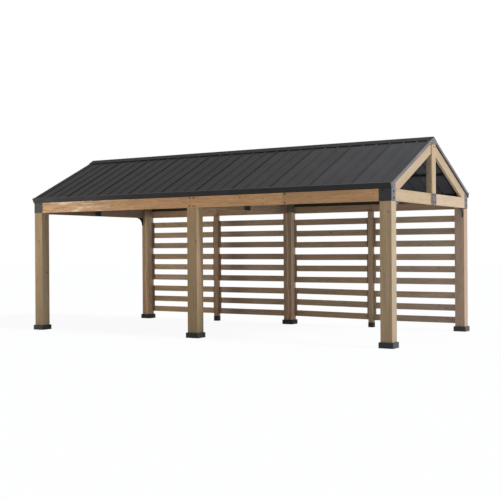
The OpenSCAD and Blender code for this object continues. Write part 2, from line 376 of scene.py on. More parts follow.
def timber(name, light, dark, pink, olive, knots=0.88, rings_depth=0.35, streak_depth=0.5,
           flecks=0.4, sapwood=0.0, blaze=0.0):
    """Sawn softwood: growth rings round the heart, fibres, knots, checks and weather."""
    f = Finish(bpy.data.materials.new(name))
    u, v, w = f.layer("grain")
    tone, warmth, wear = f.layer("tone")
    v = v + (f.noise(u * 0.8, 0.0, 0.0, detail=1.0) - 0.5) * 0.05
    radius = f.maths("SQRT", v * v + w * w)
    angle = f.maths("ARCTAN2", w, v)

    # Knots are branches that run out from the heart
    spots = {"Vector": f.vector(u * 8.0, angle * 0.9, 0.0), "Scale": 1.0}
    far, pick = [f.make("ShaderNodeTexVoronoi", {"voronoi_dimensions": "2D"}, spots, output)
                 for output in ("Distance", "Color")]
    chance, girth = [f.make("ShaderNodeSeparateColor", None, {0: pick}, output)
                     for output in ("Red", "Green")]
    chosen = f.maths("GREATER_THAN", chance, knots)
    spread = far / (girth * 0.07 + 0.055)
    knot = (1.0 - f.step(spread, 0.75, 1.0)) * chosen
    halo = (1.0 - f.step(spread, 0.8, 3.2)) * chosen

    wobble = f.noise(u * 1.1, angle * 1.6, 3.0)
    phase = f.maths("FRACT", radius * 170.0 + wobble * 3.0 + halo * 1.6)
    late = f.step(phase, 0.35, 0.9) * (1.0 - f.step(phase, 0.92, 1.0))

    fibre = f.noise(u * 9.0, v * 260.0, w * 260.0, detail=3.0)
    streak = f.noise(u * 0.9, v * 26.0, w * 26.0, detail=3.0, rough=0.55)
    patch = f.noise(u * 1.3, v * 9.0, w * 9.0)
    drift = f.noise(u * 1.7, v * 11.0, w * 11.0 + 5.0)
    fleck = f.noise(u * 13.0, v * 48.0, w * 48.0)
    blot = f.noise(u * 7.0, v * 30.0 + 4.0, w * 30.0)

    # Fine checks open along the grain
    split = f.noise(u * 0.7, angle * 9.0, radius * 14.0)
    reach = f.noise(u * 2.2, angle * 3.0, 9.0, detail=1.0)
    check = (1.0 - f.step(f.maths("ABSOLUTE", split - 0.5), 0.0, 0.006)) * f.step(reach, 0.52, 0.66)

    share = late * rings_depth + f.step(streak, 0.3, 0.7) * streak_depth
    colour = f.stained(shade(light), share, dark)
    for mottle, start, end, depth, stain in (
            (patch, 0.5, 0.72, 0.55, pink), (drift, 0.5, 0.74, 0.5, olive),
            (fleck, 0.5, 0.66, flecks, pink), (blot, 0.52, 0.68, flecks, dark)):
        colour = f.stained(colour, f.step(mottle, start, end, 0.0, depth), stain)
    if blaze:
        # Pale, silky streaks where the grain sweeps past a knot, and darker ones between
        sweep = f.noise(u * 2.6, v * 15.0, w * 15.0 + 9.0, rough=0.6)
        colour = f.stained(colour, f.step(sweep, 0.5, 0.7, 0.0, blaze), "#F0CFA6")
        colour = f.stained(colour, f.step(sweep, 0.3, 0.44, blaze, 0.0), "#A67C50")
    colour = f.stained(colour, halo * 0.35, dark)
    ring_in_knot = f.noise(far * 40.0, 0.0, 0.0, detail=0.0)
    colour = f.stained(colour, knot * (0.42 + ring_in_knot * 0.3), "#54361F")
    colour = f.stained(colour, check * 0.7, "#33261A")
    if sapwood:
        # A pale band of sapwood wanders down the sides that cut across the rings
        middle = (f.noise(u * 1.6, 2.0, 0.0, detail=1.0) - 0.5) * 0.16
        band = 1.0 - f.step(f.maths("ABSOLUTE", w - middle), 0.004, 0.022)
        colour = f.stained(colour, band * sapwood, "#DCC6A8")
    level = tone * (0.88 + fibre * 0.24) * (0.94 + patch * 0.12) * (1.0 + wear * 0.08)

    rough = 0.66 + fibre * 0.16 - late * 0.06 - knot * 0.12
    height = fibre * 0.5 + late * 0.35 + knot * 0.3 - check * 2.0
    return f.surface(f.toned(colour, level, warmth), rough, height, 0.4, 0.0006, {"IOR": 1.45})


def coated_steel(name, colour, dust, rough=0.6, dusting=0.35, streaked=0.0, specular=0.15):
    """Powder-coated steel with a little dust, rain streaks, rubbed edges and orange peel."""
    f = Finish(bpy.data.materials.new(name))
    s, x, n = f.layer("grain")
    tone, warmth, wear = f.layer("tone")
    cloud = f.noise(s, x, n, scale=2.3, detail=4.0, rough=0.6)
    speck = f.noise(s, x, n, scale=160.0)
    run = f.noise(s * 0.7, x * 24.0, n * 24.0, detail=3.0)
    skin = f.noise(s, x, n, scale=700.0, detail=1.0)
    dent = f.noise(s * 2.2, x * 7.0, n * 7.0, detail=1.0)
    dust_and_shade = f.step(cloud, 0.35, 0.75) * dusting + f.step(speck, 0.6, 0.8) * 0.08 \
        + f.step(run, 0.5, 0.8) * streaked
    base = f.stained(shade(colour), dust_and_shade, dust)
    base = f.stained(base, wear * f.step(speck, 0.3, 0.6) * 0.35, "#8C9098")
    base = f.toned(base, tone * (0.96 + cloud * 0.08), warmth)
    return f.surface(base, rough + dust_and_shade * 0.3 + speck * 0.06, skin * 0.25 + dent * 1.4, 0.35,
                     0.0008, {"Specular IOR Level": specular})


# Each wood's light and dark grain, and its pinkish and olive patches
POST_WOOD = ("#B39A76", "#94805F", "#B08A70", "#8F8258")
REAR_WOOD = ("#B9997A", "#998063", "#B58A74", "#94815C")
GABLE_WOOD = ("#C0A684", "#A68C68", "#B89278", "#A08C62")
BEAM_WOOD = ("#D9AD7D", "#B48A5D", "#CE9771", "#B08E59")
SCREEN_WOOD = ("#AF9575", "#8C7359", "#AD856F", "#8F825B")
SHADED_WOOD = ("#B59573", "#8B7056", "#AD846B", "#897856")

post_timber = timber("post_timber", *POST_WOOD)
rear_post_timber = timber("rear_post_timber", *REAR_WOOD)
sappy_post_timber = timber("sappy_post_timber", *REAR_WOOD, sapwood=0.6)
gable_timber = timber("gable_timber", *GABLE_WOOD, streak_depth=0.4)
beam_timber = timber("beam_timber", *BEAM_WOOD, flecks=0.9, rings_depth=0.5, streak_depth=0.7)
figured_timber = timber("figured_timber", *BEAM_WOOD, flecks=0.7, knots=0.78, rings_depth=0.4,
                        blaze=0.9)
screen_timber = timber("screen_timber", *SCREEN_WOOD, knots=0.9)
shaded_timber = timber("shaded_timber", *SHADED_WOOD)
roof_steel = coated_steel("roof_steel", "#3A3836", "#4D4A47", rough=0.7, streaked=0.12, specular=0.1)
trim_steel = coated_steel("trim_steel", "#383533", "#4F4C4A")
bracket_steel = coated_steel("bracket_steel", "#363534", "#4E4C4C", rough=0.55, dusting=0.25)
base_steel = coated_steel("base_steel", "#343434", "#464647")
bolt_steel = coated_steel("bolt_steel", "#1C1A1A", "#2A2828", rough=0.5)


def painted_end_sheen(share, outward, beyond=0.0, rest=1.0):
    """Faces that look out past the gable ends carry a painted sheen, paler than the rest."""
    def tone(normal, centre):
        pale = normal.x * centre.x > outward * abs(centre.x) and abs(centre.x) > beyond
        return (share if pale else rest), 0.0
    return tone


def side_light(share, warmth=0.0, front_shade=0.0):
    """Painted light and shade: the right-hand side at a tone of its own, and painted shade on the
    faces turned to the drive.
    """
    def tone(normal, centre):
        return (share, warmth) if normal.x > 0.5 else (1.0 - front_shade * abs(normal.y), 0.0)
    return tone


# How much paler the painted sheen makes faces that look out past the gables, and how far out they must
# turn
END_SHEEN, END_TURN = 3.6, 0.75
pale_ends, pale_boot_ends = painted_end_sheen(END_SHEEN, END_TURN), painted_end_sheen(1.85, 0.5, 3.0)


# ------------ posts

half_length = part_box("front_beam")[1].x
# How much painted shade darkens the faces of a post turned to the drive
POST_FRONT_SHADE = 0.12
BOOT_ROLL, BOOT_CORNER = 0.009, 0.004
SHOE_T, SHOE_ROLL, SHOE_CORNER = 0.003, 0.0012, 0.003
# A slim post's ease, and the heights over which its tone goes from darker at the foot to full
SLIM_EASE, DARK_FOOT = 0.003, (0.16, 0.24)
# How far the rear beam's boards reach below the drawn one at the left, middle and right posts
REAR_DROPS = {-1: 0.012, 0: 0.005, 1: 0.010}
# How far a post's left, right, near and far faces stand off the drawn ones
OFF_LINE = {"front_left_post": (0.0, 0.004, 0.0, 0.014),
            "front_middle_post": (-0.005, 0.014, 0.0, 0.006),
            "front_right_post": (-0.012, 0.0, 0.0, 0.0),
            "rear_middle_post": (0.012, 0.012, 0.0, 0.0),
            "screen_post_left": (0.012, 0.014, 0.0, 0.0),
            "screen_post_right": (-0.003, -0.005, 0.0, 0.0)}


def stood(node):
    """A post's own corners: sawn posts differ a little in size, and some stand off line."""
    low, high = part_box(node)
    left, right, near, far = OFF_LINE.get(node, (0.0, 0.0, 0.0, 0.0))
    return low + Vector((left, near, 0)), high + Vector((right, far, 0))


def inner_outer(a, b):
    """How near to the middle of the carport something reaches, and how far from it."""
    return sorted((abs(a), abs(b)))


def stepped_post(x_in, x_out, y_in, y_out, notch, shoulder, top):
    """A post whose head is cut back on its two outer sides to seat the beam and the tie."""
    square = oblong(x_in, y_in, x_out, y_out)
    head = oblong(x_in, y_in, x_out - notch, y_out - notch)
    p = [Vector((x, y, z)) for z in (0, shoulder) for x, y in square]
    p += [Vector((x, y, shoulder)) for x, y in head[1:]]
    p += [Vector((x, y, top)) for x, y in head]
    # 0-3 foot, 4-7 shoulder corners, 8-10 foot of the head, 11-14 top of the head
    faces = [(0, 1, 2, 3), (1, 2, 6, 5), (2, 3, 7, 6),
             (0, 1, 5, 8, 4), (4, 8, 12, 11), (0, 4, 10, 7, 3), (4, 11, 14, 10),
             (5, 6, 7, 10, 9, 8), (8, 9, 13, 12), (9, 10, 14, 13), (11, 12, 13, 14)]
    return p, faces


def darker_below(low, high, shoulder, front, side, head):
    """A post's shares of tone at the foot and the shoulder, for its front and its right side, and for
    its head a share that paints the shade under the roof.
    """
    def tone(point):
        if point.z > shoulder + POST_EASE:
            return head
        return np.interp(point.z, (low.z, shoulder),
                         side if point.x > high.x - POST_EASE / 2 else front)
    return tone


def build_post(place, material, tone, warmth, side_tone, side_warmth, front=(1.0, 1.0),
               side=(1.0, 1.0), head=1.0):
    """One of the six main posts, its head stepped under the beams."""
    node = place + "_post"
    low, high = stood(node)
    beam_low, beam_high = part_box("front_beam" if low.y < 0 else "rear_beam")
    side_x = 0 if "middle" in node else math.copysign(1, low.x)
    side_y = math.copysign(1, low.y)
    shoulder = beam_low.z - (REAR_DROPS[side_x] if side_y > 0 else 0.0)
    (x_in, x_out), (y_in, y_out) = inner_outer(low.x, high.x), inner_outer(low.y, high.y)
    notch = beam_high.y - beam_low.y
    heart = (low + high) / 2 + Vector((stray(), stray(), 0))
    piece = Piece(place + "_timber_post")
    if side_x:
        points, faces = stepped_post(x_in, x_out, y_in, y_out, notch, shoulder, high.z)
    else:
        outline = [(y_in, 0), (y_out, 0), (y_out, shoulder), (y_out - notch, shoulder),
                   (y_out - notch, high.z), (y_in, high.z)]
        points, faces = drawn_out(outline, 0, low.x, high.x)
    piece.add(mirrored(points, side_x or 1, side_y), faces, ease=POST_EASE, steps=3,
              grain=Grain(Z, heart).at, tone=tone, warmth=warmth,
              face_tone=side_light(side_tone, side_warmth, POST_FRONT_SHADE),
              drift=darker_below(low, high, shoulder, front, side, head))
    piece.place(material, "timber", node)


# Side tones paint the light and shade on each post's right side, and the rear left post's head is
# painted dark with the shade under the roof
build_post("front_left", post_timber, 1.22, 1.1, 0.62, -1.0, (0.80, 1.22), (0.80, 1.18))
build_post("front_middle", post_timber, 0.85, 1.2, 1.2, -0.7, (0.78, 1.18), (0.62, 1.64))
build_post("front_right", post_timber, 0.95, 0.3, 1.08, -1.3, (0.92, 1.08), (0.82, 1.12))
build_post("rear_left", sappy_post_timber, 1.34, 1.2, 0.9, -3.0, side=(1.0, 1.24), head=0.25)
build_post("rear_middle", sappy_post_timber, 0.93, 0.5, 1.6, -2.0)
build_post("rear_right", rear_post_timber, 1.06, -1.0, 0.92, 0.2, (1.0, 1.14))


def boot(piece, node, wall, height, round_top, corner, tone=1.0, face_tone=pale_boot_ends):
    """A steel boot round a post's foot, its rim rolled over."""
    low, high = stood(node)
    levels = [round_block(low, high, wall, corner, 0.0)]
    for turn in [math.radians(30 * step) for step in range(4)]:
        inset = round_top * (1 - math.cos(turn))
        rim = max(corner - inset * 0.5, BOOT_RIM_EASE)
        levels.append(round_block(low, high, wall - inset, rim,
                                  height - round_top + round_top * math.sin(turn)))
    for z in (height, 0.0):
        levels.append(round_block(low, high, 0.0, BOOT_BORE_EASE, z))
    piece.add(*rings(levels, closed=True), tone=tone, face_tone=face_tone)


boots = Piece("steel_post_boots")
base_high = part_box("post_bases")[1]
for place, tone, face_tone in (("front_left", 1.8, side_light(0.34)),
                               ("front_middle", 0.74, side_light(1.6)),
                               ("front_right", 0.91, pale_boot_ends),
                               ("rear_left", 1.0, side_light(0.8)),
                               ("rear_middle", 0.9, None),
                               ("rear_right", 1.2, pale_boot_ends)):
    boot(boots, place + "_post", base_high.x - half_length, base_high.z, BOOT_ROLL, BOOT_CORNER,
         tone, face_tone)
boots.place(base_steel, "base_steel", "post_bases")

shoes = Piece("steel_screen_post_shoes")
shoe_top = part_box("screen_post_shoes")[1].z
for node, tone, foot, rise in (("screen_post_left", 1.24, 0.78, 0.006),
                               ("screen_post_right", 1.02, 0.88, -0.005)):
    slim = Piece(node + "_timber")
    board(slim, *stood(node), 2, ease=SLIM_EASE, reach=SLIM_REACH, tone=tone, stops=DARK_FOOT,
          drift=fade(2, DARK_FOOT, (foot, 1.0)))
    slim.place(screen_timber, "screen_timber", node)
    boot(shoes, node, SHOE_T, shoe_top + rise, SHOE_ROLL, SHOE_CORNER)
shoes.place(base_steel, "base_steel", "screen_post_shoes")


# ------------ beams, ties and trusses

BEAM_JOINTS = (-1.512, 0.0, 1.512)
# The painted shade along the top of the rear beam's inner face, and the length that it leaves out
SHADE_STRIP = 0.054
STRIP_GAP = (-1.93, 0.02)
# Where the middle tie's rear end runs into the roof's shade
DARK_END = (0.85, 1.10)
RAFTER_H, PLANED, LEFT_SAG = 0.134, 0.007, 0.013
STRIP_SHADE, DARK_END_SHADE = 0.06, 0.6


def dark_under_roof(normal, centre):
    """The top of the rear beam's inner face, painted black as the shade under the roof, but for a
    length left of the middle.
    """
    dust_and_shade = not STRIP_GAP[0] < centre.x < STRIP_GAP[1]
    if dust_and_shade and normal.y < -0.5 and centre.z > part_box("rear_beam")[1].z - SHADE_STRIP:
        return STRIP_SHADE, 0.0
    return 1.0, 0.0


def build_beam(node, boards, face_tone=None):
    """An edge beam of boards butted end to end, each with its own timber and tones."""
    low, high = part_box(node)
    outline = oblong(low.y, low.z, high.y, high.z)
    if face_tone:
        outline.append((low.y, high.z - SHADE_STRIP))
    pieces = {}
    for (start, end), (material, left_tone, right_tone, warmth, drop) in zip(
            butted(low.x, *BEAM_JOINTS, high.x), boards):
        middle = Vector(((start + end) / 2, (low.y + high.y) / 2, (low.z + high.z) / 2))
        if material not in pieces:
            pieces[material] = Piece(f"{node}_boards_{len(pieces) + 1}")
        levels = [x for x in (STRIP_GAP if face_tone else ()) if start < x < end]
        points, faces = drawn_out(outline, 0, start, *levels, end)
        for p in points:
            if p.z == low.z:
                p.z -= drop
        pieces[material].add(
            points, faces, ease=BOARD_EASE, warmth=warmth,
            grain=Grain(X, heart_beside(middle, Y, WIDE_REACH)).at, face_tone=face_tone,
            drift=fade(0, (start, end), (left_tone, right_tone)))
    for material, piece in pieces.items():
        piece.place(material, "timber", node)


build_beam("front_beam", (
    (figured_timber, 1.66, 1.07, -0.7, 0.0), (beam_timber, 1.08, 0.82, 0.5, 0.0),
    (beam_timber, 0.84, 0.88, 0.9, 0.0), (beam_timber, 0.68, 0.82, 0.6, 0.0)))
build_beam("rear_beam", (
    (shaded_timber, 1.0, 1.6, 1.6, 0.012), (shaded_timber, 1.3, 1.1, 1.2, 0.005),
    (shaded_timber, 0.85, 0.85, 0.8, 0.007), (shaded_timber, 0.9, 0.9, 0.4, 0.010)),
    dark_under_roof)


def hung(point, node):
    """A point of the left tie, or of what hangs from it, a little below the drawn one."""
    return point - Vector((0, 0, LEFT_SAG if "left" in node else 0.0))


def king_half(place):
    """Half a king post's width across the ridge, planed a little under size."""
    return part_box("king_post_" + place)[1].y - PLANED


def peaked(half, foot, peak):
    """An upright outline whose head is cut to a peak under the two slopes."""
    shoulder = peak - half * TAN
    return [(-half, foot), (half, foot), (half, shoulder), (0.0, peak), (-half, shoulder)]


def rise_over_purlins(place):
    """The end trusses stand up a little past the undersides of the purlins let into them."""
    return 0.0 if place == "middle" else HOUSED / COS


def build_tie(place, material, tones):
    """A tie across a truss: one board each side of the king post."""
    node = "tie_beam_" + place
    low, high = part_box(node)
    low, half = hung(low, node), king_half(place)
    shaded = {}
    if place == "middle":
        shaded = {"stops": DARK_END, "drift": fade(1, DARK_END, (1.0, DARK_END_SHADE))}
    piece = Piece("tie_boards_" + place)
    board(piece, low, (high.x, -half, high.z), 1, tone=tones[0])
    board(piece, (low.x, half, low.z), high, 1, tone=tones[1], warmth=-0.9, **shaded)
    piece.place(material, "timber", node)


def king_side_light(normal, centre):
    """A king post's sides are painted darker and cooler as shade, but lighter and warm as light where
    they stand out past the gable at the right.
    """
    if abs(normal.y) < 0.5:
        return 1.0, 0.0
    return (1.5, 0.6) if centre.x > half_length else (0.8, -1.2)


def build_king_post(place, material, tone):
    """A king post with a peaked head under the ridge."""
    node = "king_post_" + place
    low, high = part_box(node)
    low, half = hung(low, node), king_half(place)
    outline = peaked(half, low.z, high.z + rise_over_purlins(place))
    piece = Piece("king_post_timber_" + place)
    heart = Vector(((low.x + high.x) / 2, stray(), 0))
    levels = (low.x, half_length, high.x) if low.x < half_length < high.x else (low.x, high.x)
    piece.add(*drawn_out(outline, 0, *levels), ease=POST_EASE, grain=Grain(Z, heart).at,
              tone=tone, warmth=0.3, face_tone=king_side_light)
    piece.place(material, "timber", node)


def build_rafters(place, material, tones):
    """A pair of rafters, cut plumb at the king post and seated on the beams."""
    node = "rafters_" + place
    low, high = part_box(node)
    king_top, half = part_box("king_post_" + place)[1].z, king_half(place)
    depth = RAFTER_H / COS
    top_at_king, tail_z = king_top - half * TAN, king_top - high.y * TAN
    rise = rise_over_purlins(place)
    outline = [(half, top_at_king + rise),
               (high.y + rise * COS * SIN, tail_z + rise * COS ** 2),
               (high.y - (tail_z - low.z) * TAN, low.z),
               ((king_top - depth - low.z) / TAN, low.z), (half, top_at_king - depth)]
    piece = Piece("rafter_pair_" + place)
    for side, tone in zip((-1, 1), tones):
        points, faces = drawn_out(outline, 0, low.x, high.x)
        middle = Vector(((low.x + high.x) / 2, side * high.y / 2, (low.z + high.z) / 2))
        grain = Grain(Vector((0, side * COS, -SIN)), heart_beside(middle, X, RAFTER_REACH))
        piece.add(mirrored(points, 1, side), faces, ease=BOARD_EASE, grain=grain.at, tone=tone,
                  warmth=-0.3)
    piece.place(material, "timber", node)


for place, material, tone, tie_tones in (
        ("left", shaded_timber, 1.05, (0.595, 0.84)), ("middle", shaded_timber, 0.85, (1.0, 1.2)),
        ("right", gable_timber, 0.9, (1.0, 1.2))):
    build_tie(place, material, [tone * share for share in tie_tones])
    build_king_post(place, material, tone * 0.98)
    build_rafters(place, material, (tone * 0.99, tone))


# ------------ roof

SLOPES = ((-1, "front"), (1, "rear"))
PURLIN_W, PURLIN_EASE, PURLIN_INSET = 0.050, 0.0015, 0.002
SHEET_TOP_S, FLANGE_W, EDGE_T = 0.010, 0.030, 0.003
ridge_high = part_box("king_post_middle")[1].z - RAFTER_TOP / COS


def on_slope(side, s, n):
    """Y and Z of a point a distance s down the slope and n out from its plane."""
    return side * (s * COS + n * SIN), ridge_high - s * SIN + n * COS


def slope_ring(side, s, outline):
    """An outline, given by place along the roof and height, standing at s down the slope."""
    return [Vector((x, *on_slope(side, s, n))) for x, n in outline]


def down_slope(side, outline, s0, s1):
    """An outline drawn down a slope from s0 to s1."""
    return rings([slope_ring(side, s, outline) for s in (s0, s1)])


def slope_grain(side):
    """Sheets are laid down the slope, so their streaks run that way."""
    def at(point):
        s = (side * point.y) * COS + (ridge_high - point.z) * SIN
        return s, point.x, point.z * 0.3 + side * 7.0
    return at


def slope_block(side, x0, x1, s0, s1, n0, n1):
    """A block laid square on a slope."""
    return drawn_out([on_slope(side, s, n) for s, n in oblong(s0, n0, s1, n1)], 0, x0, x1)


trim_low, trim_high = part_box("eave_trim_front")
eave_s = (ridge_high + CAP_TOP * COS - trim_high.z) / SIN + FLANGE_W
sheet_end_s = eave_s - EDGE_T
gable_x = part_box("ridge_cap")[1].x
# Where each row of purlins starts down the slope
PURLIN_ROWS = (0.075 / COS, eave_s - 0.683, sheet_end_s - PURLIN_W)

for side, word in SLOPES:
    purlins = Piece("purlin_boards_" + word)
    for s in PURLIN_ROWS:
        for x0, x1 in butted(PURLIN_INSET - half_length, 0.0, half_length - PURLIN_INSET):
            y, z = on_slope(side, s + PURLIN_W / 2, RAFTER_TOP / 2)
            heart = Vector((0, y + random.uniform(0.03, 0.06), z + random.uniform(-0.06, 0.06)))
            purlins.add(*slope_block(side, x0, x1, s, s + PURLIN_W, RAFTER_TOP, 0.0),
                        ease=PURLIN_EASE, grain=Grain(X, heart).at,
                        tone=random.uniform(0.10, 0.12), warmth=-5.0)
    purlins.place(shaded_timber, "timber", "purlins_" + word)


def rib_line(x, top, foot=RIB_FOOT, crest=RIB_CREST, pan=PAN_T):
    """The line of one rib, from the left of its foot to the right."""
    return [(x - foot / 2, pan), (x - crest / 2, top), (x + crest / 2, top), (x + foot / 2, pan)]


rib_count = int((half_length - RIB_FOOT - FIRST_RIB) / RIB_PITCH) + 1
rib_xs = [FIRST_RIB + RIB_PITCH * k for k in range(rib_count)]
# A sheet has three ribs. Its left edge runs on past the foot of its first rib, and each rib is a
# little narrower underneath than on top
RIBS_A_SHEET, SHEET_EDGE, FOLD_IN = 3, 0.004, 0.006
# Painted shade on the flanks of plain ribs and of laps, at places along the roof
ALONG_ROOF = (-2.5, 0.0, 2.3)
FLANKS, LAP_FLANKS = (0.50, 0.61, 0.80), (0.20, 0.30, 0.58)


def flank_tone(lap):
    """Painted shade on each rib's right flank, deepest at a lap and towards the left end; undersides
    are painted lighter and cooler, left flanks a little darker.
    """
    def tone(normal, centre):
        if normal.z < -0.3:
            return 1.25, -0.7
        if normal.x > 0.3:
            flank_shade = LAP_FLANKS if abs(centre.x - lap) < RIB_FOOT else FLANKS
            return np.interp(centre.x, ALONG_ROOF, flank_shade), 0.2
        return (0.9 if normal.x < -0.3 else 1.0), 0.0
    return tone


def sheet_sheen(place):
    """Painted sheen: sheets are paler to the right, and there most of all under the ridge."""
    level = np.interp(place, (0, 4, 6, 8, 9), (0.69, 0.69, 0.865, 1.12, 1.29))
    fall = np.interp(place, (0, 5, 9), (0.02, 0.06, 0.20))
    low = on_slope(1, sheet_end_s, 0.0)[1]

    def tone(point):
        return level * (1 - fall * ((ridge_high - point.z) / (ridge_high - low) - 0.5))
    return tone


def sheet_outline(first, lap):
    """The section of one sheet, its right edge lapped over the next sheet's first rib."""
    own = rib_xs[first:first + RIBS_A_SHEET]
    start = own[0] - RIB_FOOT / 2 - SHEET_EDGE if first else -half_length
    top, under = [(start, PAN_T)], []
    for x in own:
        top += rib_line(x, CREST - LAP if first and x == own[0] else CREST)
        under += rib_line(x, CREST - PAN_T, RIB_FOOT - FOLD_IN, RIB_CREST - FOLD_IN, 0.0)
    if lap > half_length:
        top.append((half_length, PAN_T))
        bottom = [(half_length, 0.0)]
    else:
        lip, turn = lap + RIB_FOOT / 2 + LAP_LIP, lap - RIB_FOOT / 2 - FOLD_IN
        lapped = [(x, n + LAP if n == PAN_T else n) for x, n in rib_line(lap, CREST)]
        top += [(turn - SHEET_EDGE, PAN_T), *lapped, (lip, PAN_T + LAP)]
        bottom = [(lip, PAN_T), *rib_line(lap, CREST - LAP)[::-1], (turn, PAN_T), (turn, 0.0)]
    return top + bottom + under[::-1] + [(start, 0.0)]


for side, word in SLOPES:
    sheets = Piece("roof_sheet_run_" + word)
    for first in range(0, rib_count, RIBS_A_SHEET):
        lap = rib_xs[first + RIBS_A_SHEET] if first + RIBS_A_SHEET < rib_count else math.inf
        place = first / RIBS_A_SHEET
        sheets.add(*down_slope(side, sheet_outline(first, lap), SHEET_TOP_S, sheet_end_s),
                   grain=slope_grain(side), drift=sheet_sheen(place), face_tone=flank_tone(lap),
                   warmth=np.interp(place, (5, 9), (0.0, -0.9)))
    sheets.place(roof_steel, "roof_steel", "roof_sheets_" + word)

# Ridge cap: a folded flashing with a toothed lip down each side, and a saddle over each rib. The
# saddles are near-black partly as closures and partly as painted shade under the lip, and the cap
# carries a painted sheen, palest at the right end
CAP_W, CAP_FOLD, CAP_OVERHANG, CAP_BEND = 0.120, CAP_TOP - CREST, 0.012, 0.012
CREASE, NOTCH, SADDLE_T, SADDLE_W = 0.0022, 0.001, 0.002, 0.016
cap = Piece("ridge_cap_flashing")
cap_sheen = fade(0, (-gable_x, 0.0, gable_x), (1.12, 1.0, 1.5))


def cap_ring(x, rise):
    """The cap's folded section at one place, its ridge standing a little above a snug fit."""
    half = [(CAP_W, CREST), (CAP_W, CAP_TOP), (CAP_BEND, CAP_TOP + rise)]
    rear, front = [[on_slope(side, s, n) for s, n in half] for side in (1, -1)]
    crown = (0.0, ridge_high + rise + CAP_TOP / COS - CREASE)
    under = (0.0, ridge_high + rise + CREST / COS)
    return [Vector((x, *place)) for place in (*rear, crown, *front[::-1], under)]


for (x0, x1), rises, warmth in zip(butted(-gable_x - CAP_OVERHANG, 0.0, gable_x),
                                   ((0.008, 0.007), (0.007, 0.003)), (0.0, -0.5)):
    cap.add(*rings([cap_ring(x0, rises[0]), cap_ring(x1, rises[1])]), ease=CAP_EASE,
            grain=slope_grain(1), tone=0.53, warmth=warmth, drift=cap_sheen)
for side in (-1, 1):
    stops = [-half_length, *rib_xs, half_length]
    for a, b in zip(stops, stops[1:]):
        foot, crest = RIB_FOOT / 2 + NOTCH, RIB_CREST / 2 + NOTCH
        left_low, left_high = (a, a) if a == -half_length else (a + foot, a + crest)
        right_low, right_high = (b, b) if b == half_length else (b - foot, b - crest)
        tooth = [(left_low, PAN_T), (right_low, PAN_T), (right_high, CREST), (left_high, CREST)]
        cap.add(*down_slope(side, tooth, CAP_W - CAP_FOLD, CAP_W),
                grain=slope_grain(side), tone=0.62, drift=cap_sheen)
    for x in rib_xs:
        saddle = rib_line(x, CREST + SADDLE_T, RIB_FOOT + 2 * SADDLE_T, RIB_CREST + 2 * SADDLE_T)
        cap.add(*down_slope(side, saddle, CAP_W - CAP_FOLD, CAP_W + SADDLE_W),
                ease=SADDLE_EASE, grain=slope_grain(side), tone=0.1, drift=cap_sheen)
cap.place(roof_steel, "roof_steel", "ridge_cap")

# Eave flashings, folded over the sheets' ends: each has a face and a flange in three lengths. The
# flanges carry the roof's painted sheen, and the short face past the right gable a painted highlight
# How much lighter the painted highlight makes the short face past the right gable
EDGE_HIGHLIGHT = 5.0
flange_sheen = fade(0, (-3.1, -0.6, 0.0, 3.1), (0.60, 0.56, 0.50, 1.15))
paler_to_the_left = fade(0, (-3.1, -1.03, 1.03, 3.1), (1.98, 0.82, 0.61, 0.61))
lip_n = (trim_low.z - ridge_high + eave_s * SIN) / COS
for side, word in SLOPES:
    trim = Piece("eave_flashing_" + word)
    lengths = butted(-half_length, -half_length / 3, half_length / 3, half_length)
    edges = [(x0, x1, {"drift": paler_to_the_left}) for x0, x1 in [*lengths, (-gable_x, -half_length)]]
    for x0, x1, tones in [*edges, (half_length, gable_x, {"tone": EDGE_HIGHLIGHT})]:
        trim.add(*slope_block(side, x0, x1, sheet_end_s, eave_s, lip_n, CAP_TOP),
                 grain=slope_grain(side), **tones)
    for x0, x1 in lengths:
        flange0 = -gable_x if x0 == -half_length else x0
        flange1 = gable_x if x1 == half_length else x1
        trim.add(*slope_block(side, flange0, flange1, eave_s - FLANGE_W, sheet_end_s, CREST,
                              CAP_TOP), grain=slope_grain(side), drift=flange_sheen)
    trim.place(trim_steel, "roof_steel", "eave_trim_" + word)

# Rake flashings: a face over the gable with a painted sheen, a rolled edge, and a top and an inner lip
# with painted shade
RAKE_W, RAKE_FOLD_T, RIDGE_GAP = 0.030, 0.002, 0.001
for side_x, word, top_shade in ((-1, "left", 0.3), (1, "right", 0.9)):
    trim = Piece("rake_flashing_" + word)
    outer, face, inner = [side_x * x for x in (gable_x, half_length, half_length - RAKE_W)]
    roll = [(outer - side_x * RAKE_ROLL * (1 - math.sin(a)), RAKE_TOP - RAKE_ROLL * (1 - math.cos(a)))
            for a in [math.radians(15 * k) for k in range(7)]]
    outline = [(face, RAKE_LOW), (outer, RAKE_LOW), *roll[::-1], (inner, RAKE_TOP), (inner, PAN_T),
               (inner + side_x * RAKE_FOLD_T, PAN_T),
               (inner + side_x * RAKE_FOLD_T, RAKE_TOP - RAKE_FOLD_T), (face, RAKE_TOP - RAKE_FOLD_T)]
    for side in (-1, 1):
        plumb = [Vector((x, *on_slope(side, (RIDGE_GAP - n * SIN) / COS, n))) for x, n in outline]
        trim.add(*rings([plumb, slope_ring(side, sheet_end_s, outline)]),
                 grain=slope_grain(side), face_tone=painted_end_sheen(END_SHEEN, END_TURN, rest=top_shade))
    trim.place(trim_steel, "roof_steel", "rake_trim_" + word)

# Roofing screws: one beside each rib in each of three rows
SCREW_R, SCREW_ASIDE, SCREW_ROWS = 0.006, 0.030, (0.160, eave_s - 0.658, eave_s - 0.045)
roof_screws = Piece("roof_screws")
for side in (-1, 1):
    facing = Vector((0, side * SIN, COS))
    for s in SCREW_ROWS:
        for seat in slope_ring(side, s, [(x + SCREW_ASIDE, PAN_T) for x in rib_xs]):
            screw(roof_screws, seat, facing, SCREW_R)
roof_screws.place(roof_steel, "roof_steel")


# ------------ steel fittings

PLATE_T, FOLD_R = 0.003, 0.004
